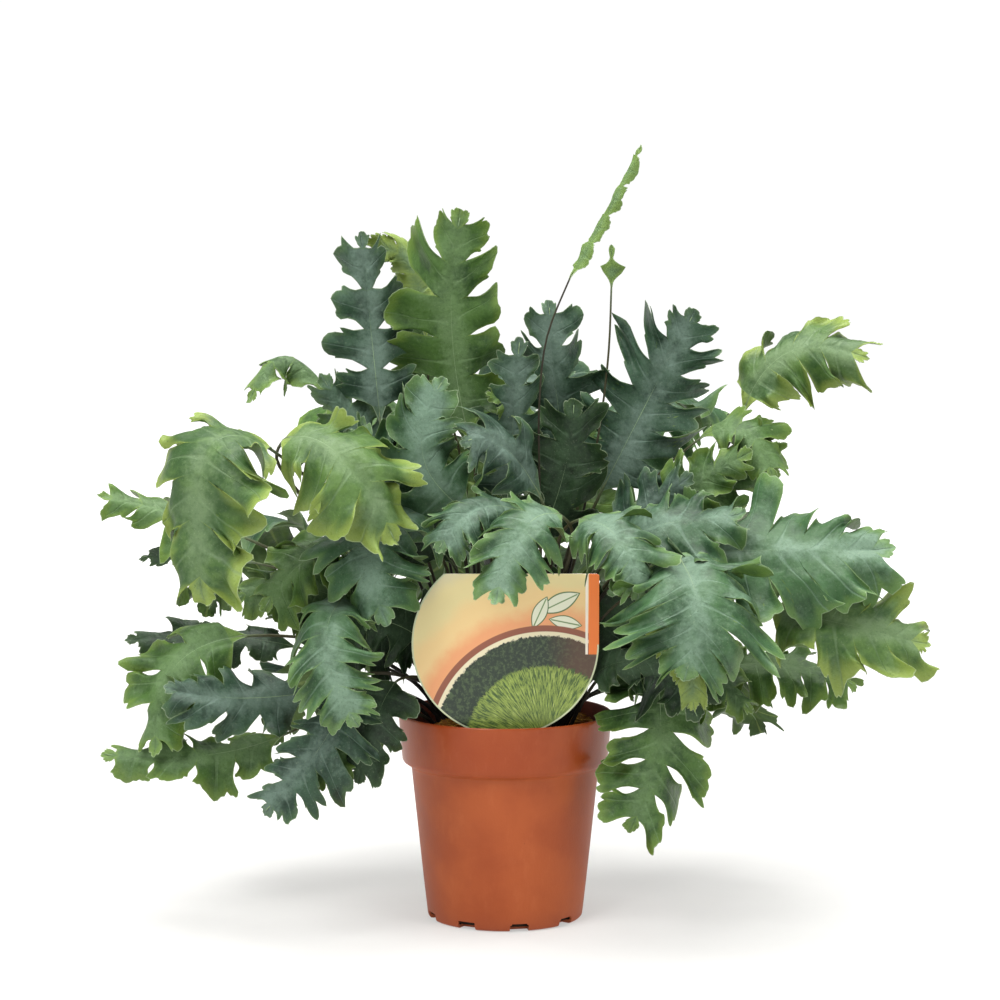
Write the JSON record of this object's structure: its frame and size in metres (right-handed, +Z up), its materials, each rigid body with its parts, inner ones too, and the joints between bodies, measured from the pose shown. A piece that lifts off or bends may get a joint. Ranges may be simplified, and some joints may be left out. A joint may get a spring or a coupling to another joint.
{
  "type": "potted blue star fern",
  "caption": "Blue star fern with wavy lobed blue-green fronds spreading over a terracotta-coloured plastic grower's pot, with a round-cornered plant label.",
  "frame": {"origin": "centre of the pot's underside, on the surface that it stands on", "axes": "+Z up along the pot's axis, -Y towards the front with the plant label, +X to the right seen from the front"},
  "size_m": [0.45, 0.3136, 0.435],
  "materials": {
    "pot": "satin terracotta-coloured moulded plastic",
    "soil": "dark fibrous peat with bark crumbs",
    "rhizome": "golden furry scales",
    "label": "printed plastic card",
    "frond": "waxy blue-green upper side, olive underside, dark wiry stipe"
  },
  "bodies": {
    "root": {"frond_arched_lime": "frond", "frond_back_high": "frond", "frond_back_high_left": "frond", "frond_back_high_right": "frond", "frond_back_inner": "frond", "frond_back_left": "frond", "frond_back_low": "frond", "frond_back_low_left": "frond", "frond_back_low_right": "frond", "frond_back_middle": "frond", "frond_back_right": "frond", "frond_beside_label": "frond", "frond_big_right": "frond", "frond_blue_left": "frond", "frond_centre_grey": "frond", "frond_centre_left": "frond", "frond_centre_low": "frond", "frond_centre_right": "frond", "frond_crest": "frond", "frond_crest_low": "frond", "frond_dark_left": "frond", "frond_dark_right": "frond", "frond_fan_left": "frond", "frond_fan_right": "frond", "frond_fingers": "frond", "frond_fingers_low": "frond", "frond_front_middle": "frond", "frond_front_right": "frond", "frond_green_behind": "frond", "frond_hanging_lobes": "frond", "frond_hanging_right": "frond", "frond_leaf_left": "frond", "frond_lime_edge": "frond", "frond_lime_left": "frond", "frond_lime_lip": "frond", "frond_lime_right": "frond", "frond_low_inner": "frond", "frond_low_left": "frond", "frond_low_right": "frond", "frond_mid_left": "frond", "frond_mid_left_inner": "frond", "frond_mid_right": "frond", "frond_pale_front": "frond", "frond_pale_left": "frond", "frond_right_upright": "frond", "frond_shade_left": "frond", "frond_shade_right": "frond", "frond_small_arch": "frond", "frond_small_fan": "frond", "frond_tail_left": "frond", "frond_tall_rolled": "frond", "frond_tiny": "frond", "frond_upright_blue": "frond", "frond_upright_green": "frond", "grower_pot": "pot", "plant_label": "label", "potting_soil": "soil", "rhizome_back": "rhizome", "rhizome_front_left": "rhizome", "rhizome_right": "rhizome"}
  },
  "joints": []
}
